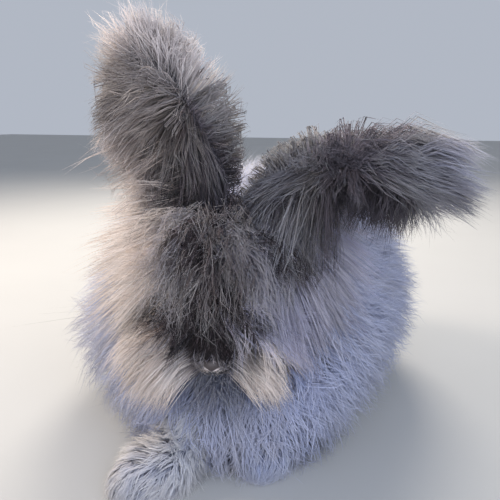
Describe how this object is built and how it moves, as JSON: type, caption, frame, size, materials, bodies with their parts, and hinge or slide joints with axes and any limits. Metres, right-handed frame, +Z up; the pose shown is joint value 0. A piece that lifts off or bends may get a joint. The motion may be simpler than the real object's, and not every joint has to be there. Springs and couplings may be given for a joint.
{
  "type": "seated angora rabbit figure",
  "caption": "Still life-size figure of a seated angora rabbit in full wool, its right ear upright and its left ear held out level to the side.",
  "frame": {"origin": "on the floor, under the middle of the whole figure's bounding box", "axes": "+Z up; the rabbit's spine runs along Y, with its head towards -Y; +X towards the rabbit's own left"},
  "size_m": [0.358, 0.418, 0.3311],
  "materials": {
    "body_wool": "soft matt wool, pale blue grey",
    "neck_wool": "soft matt wool, blue grey",
    "head_wool": "soft matt wool, warm taupe",
    "ear_wool": "soft matt wool, dark grey brown with paler tips",
    "tail_wool": "soft matt wool, pale blue grey",
    "foot_fur": "soft matt fur, pale grey to cream",
    "eye": "wet dark brown"
  },
  "bodies": {
    "root": {"torso": "body_wool", "neck": "neck_wool", "head": "head_wool", "tail": "tail_wool", "ear_right": "ear_wool", "ear_left": "ear_wool", "foreleg_right": "foot_fur", "foreleg_left": "foot_fur", "hindleg_right": "foot_fur", "hindleg_left": "foot_fur", "eye_right": "eye", "eye_left": "eye"}
  },
  "joints": []
}
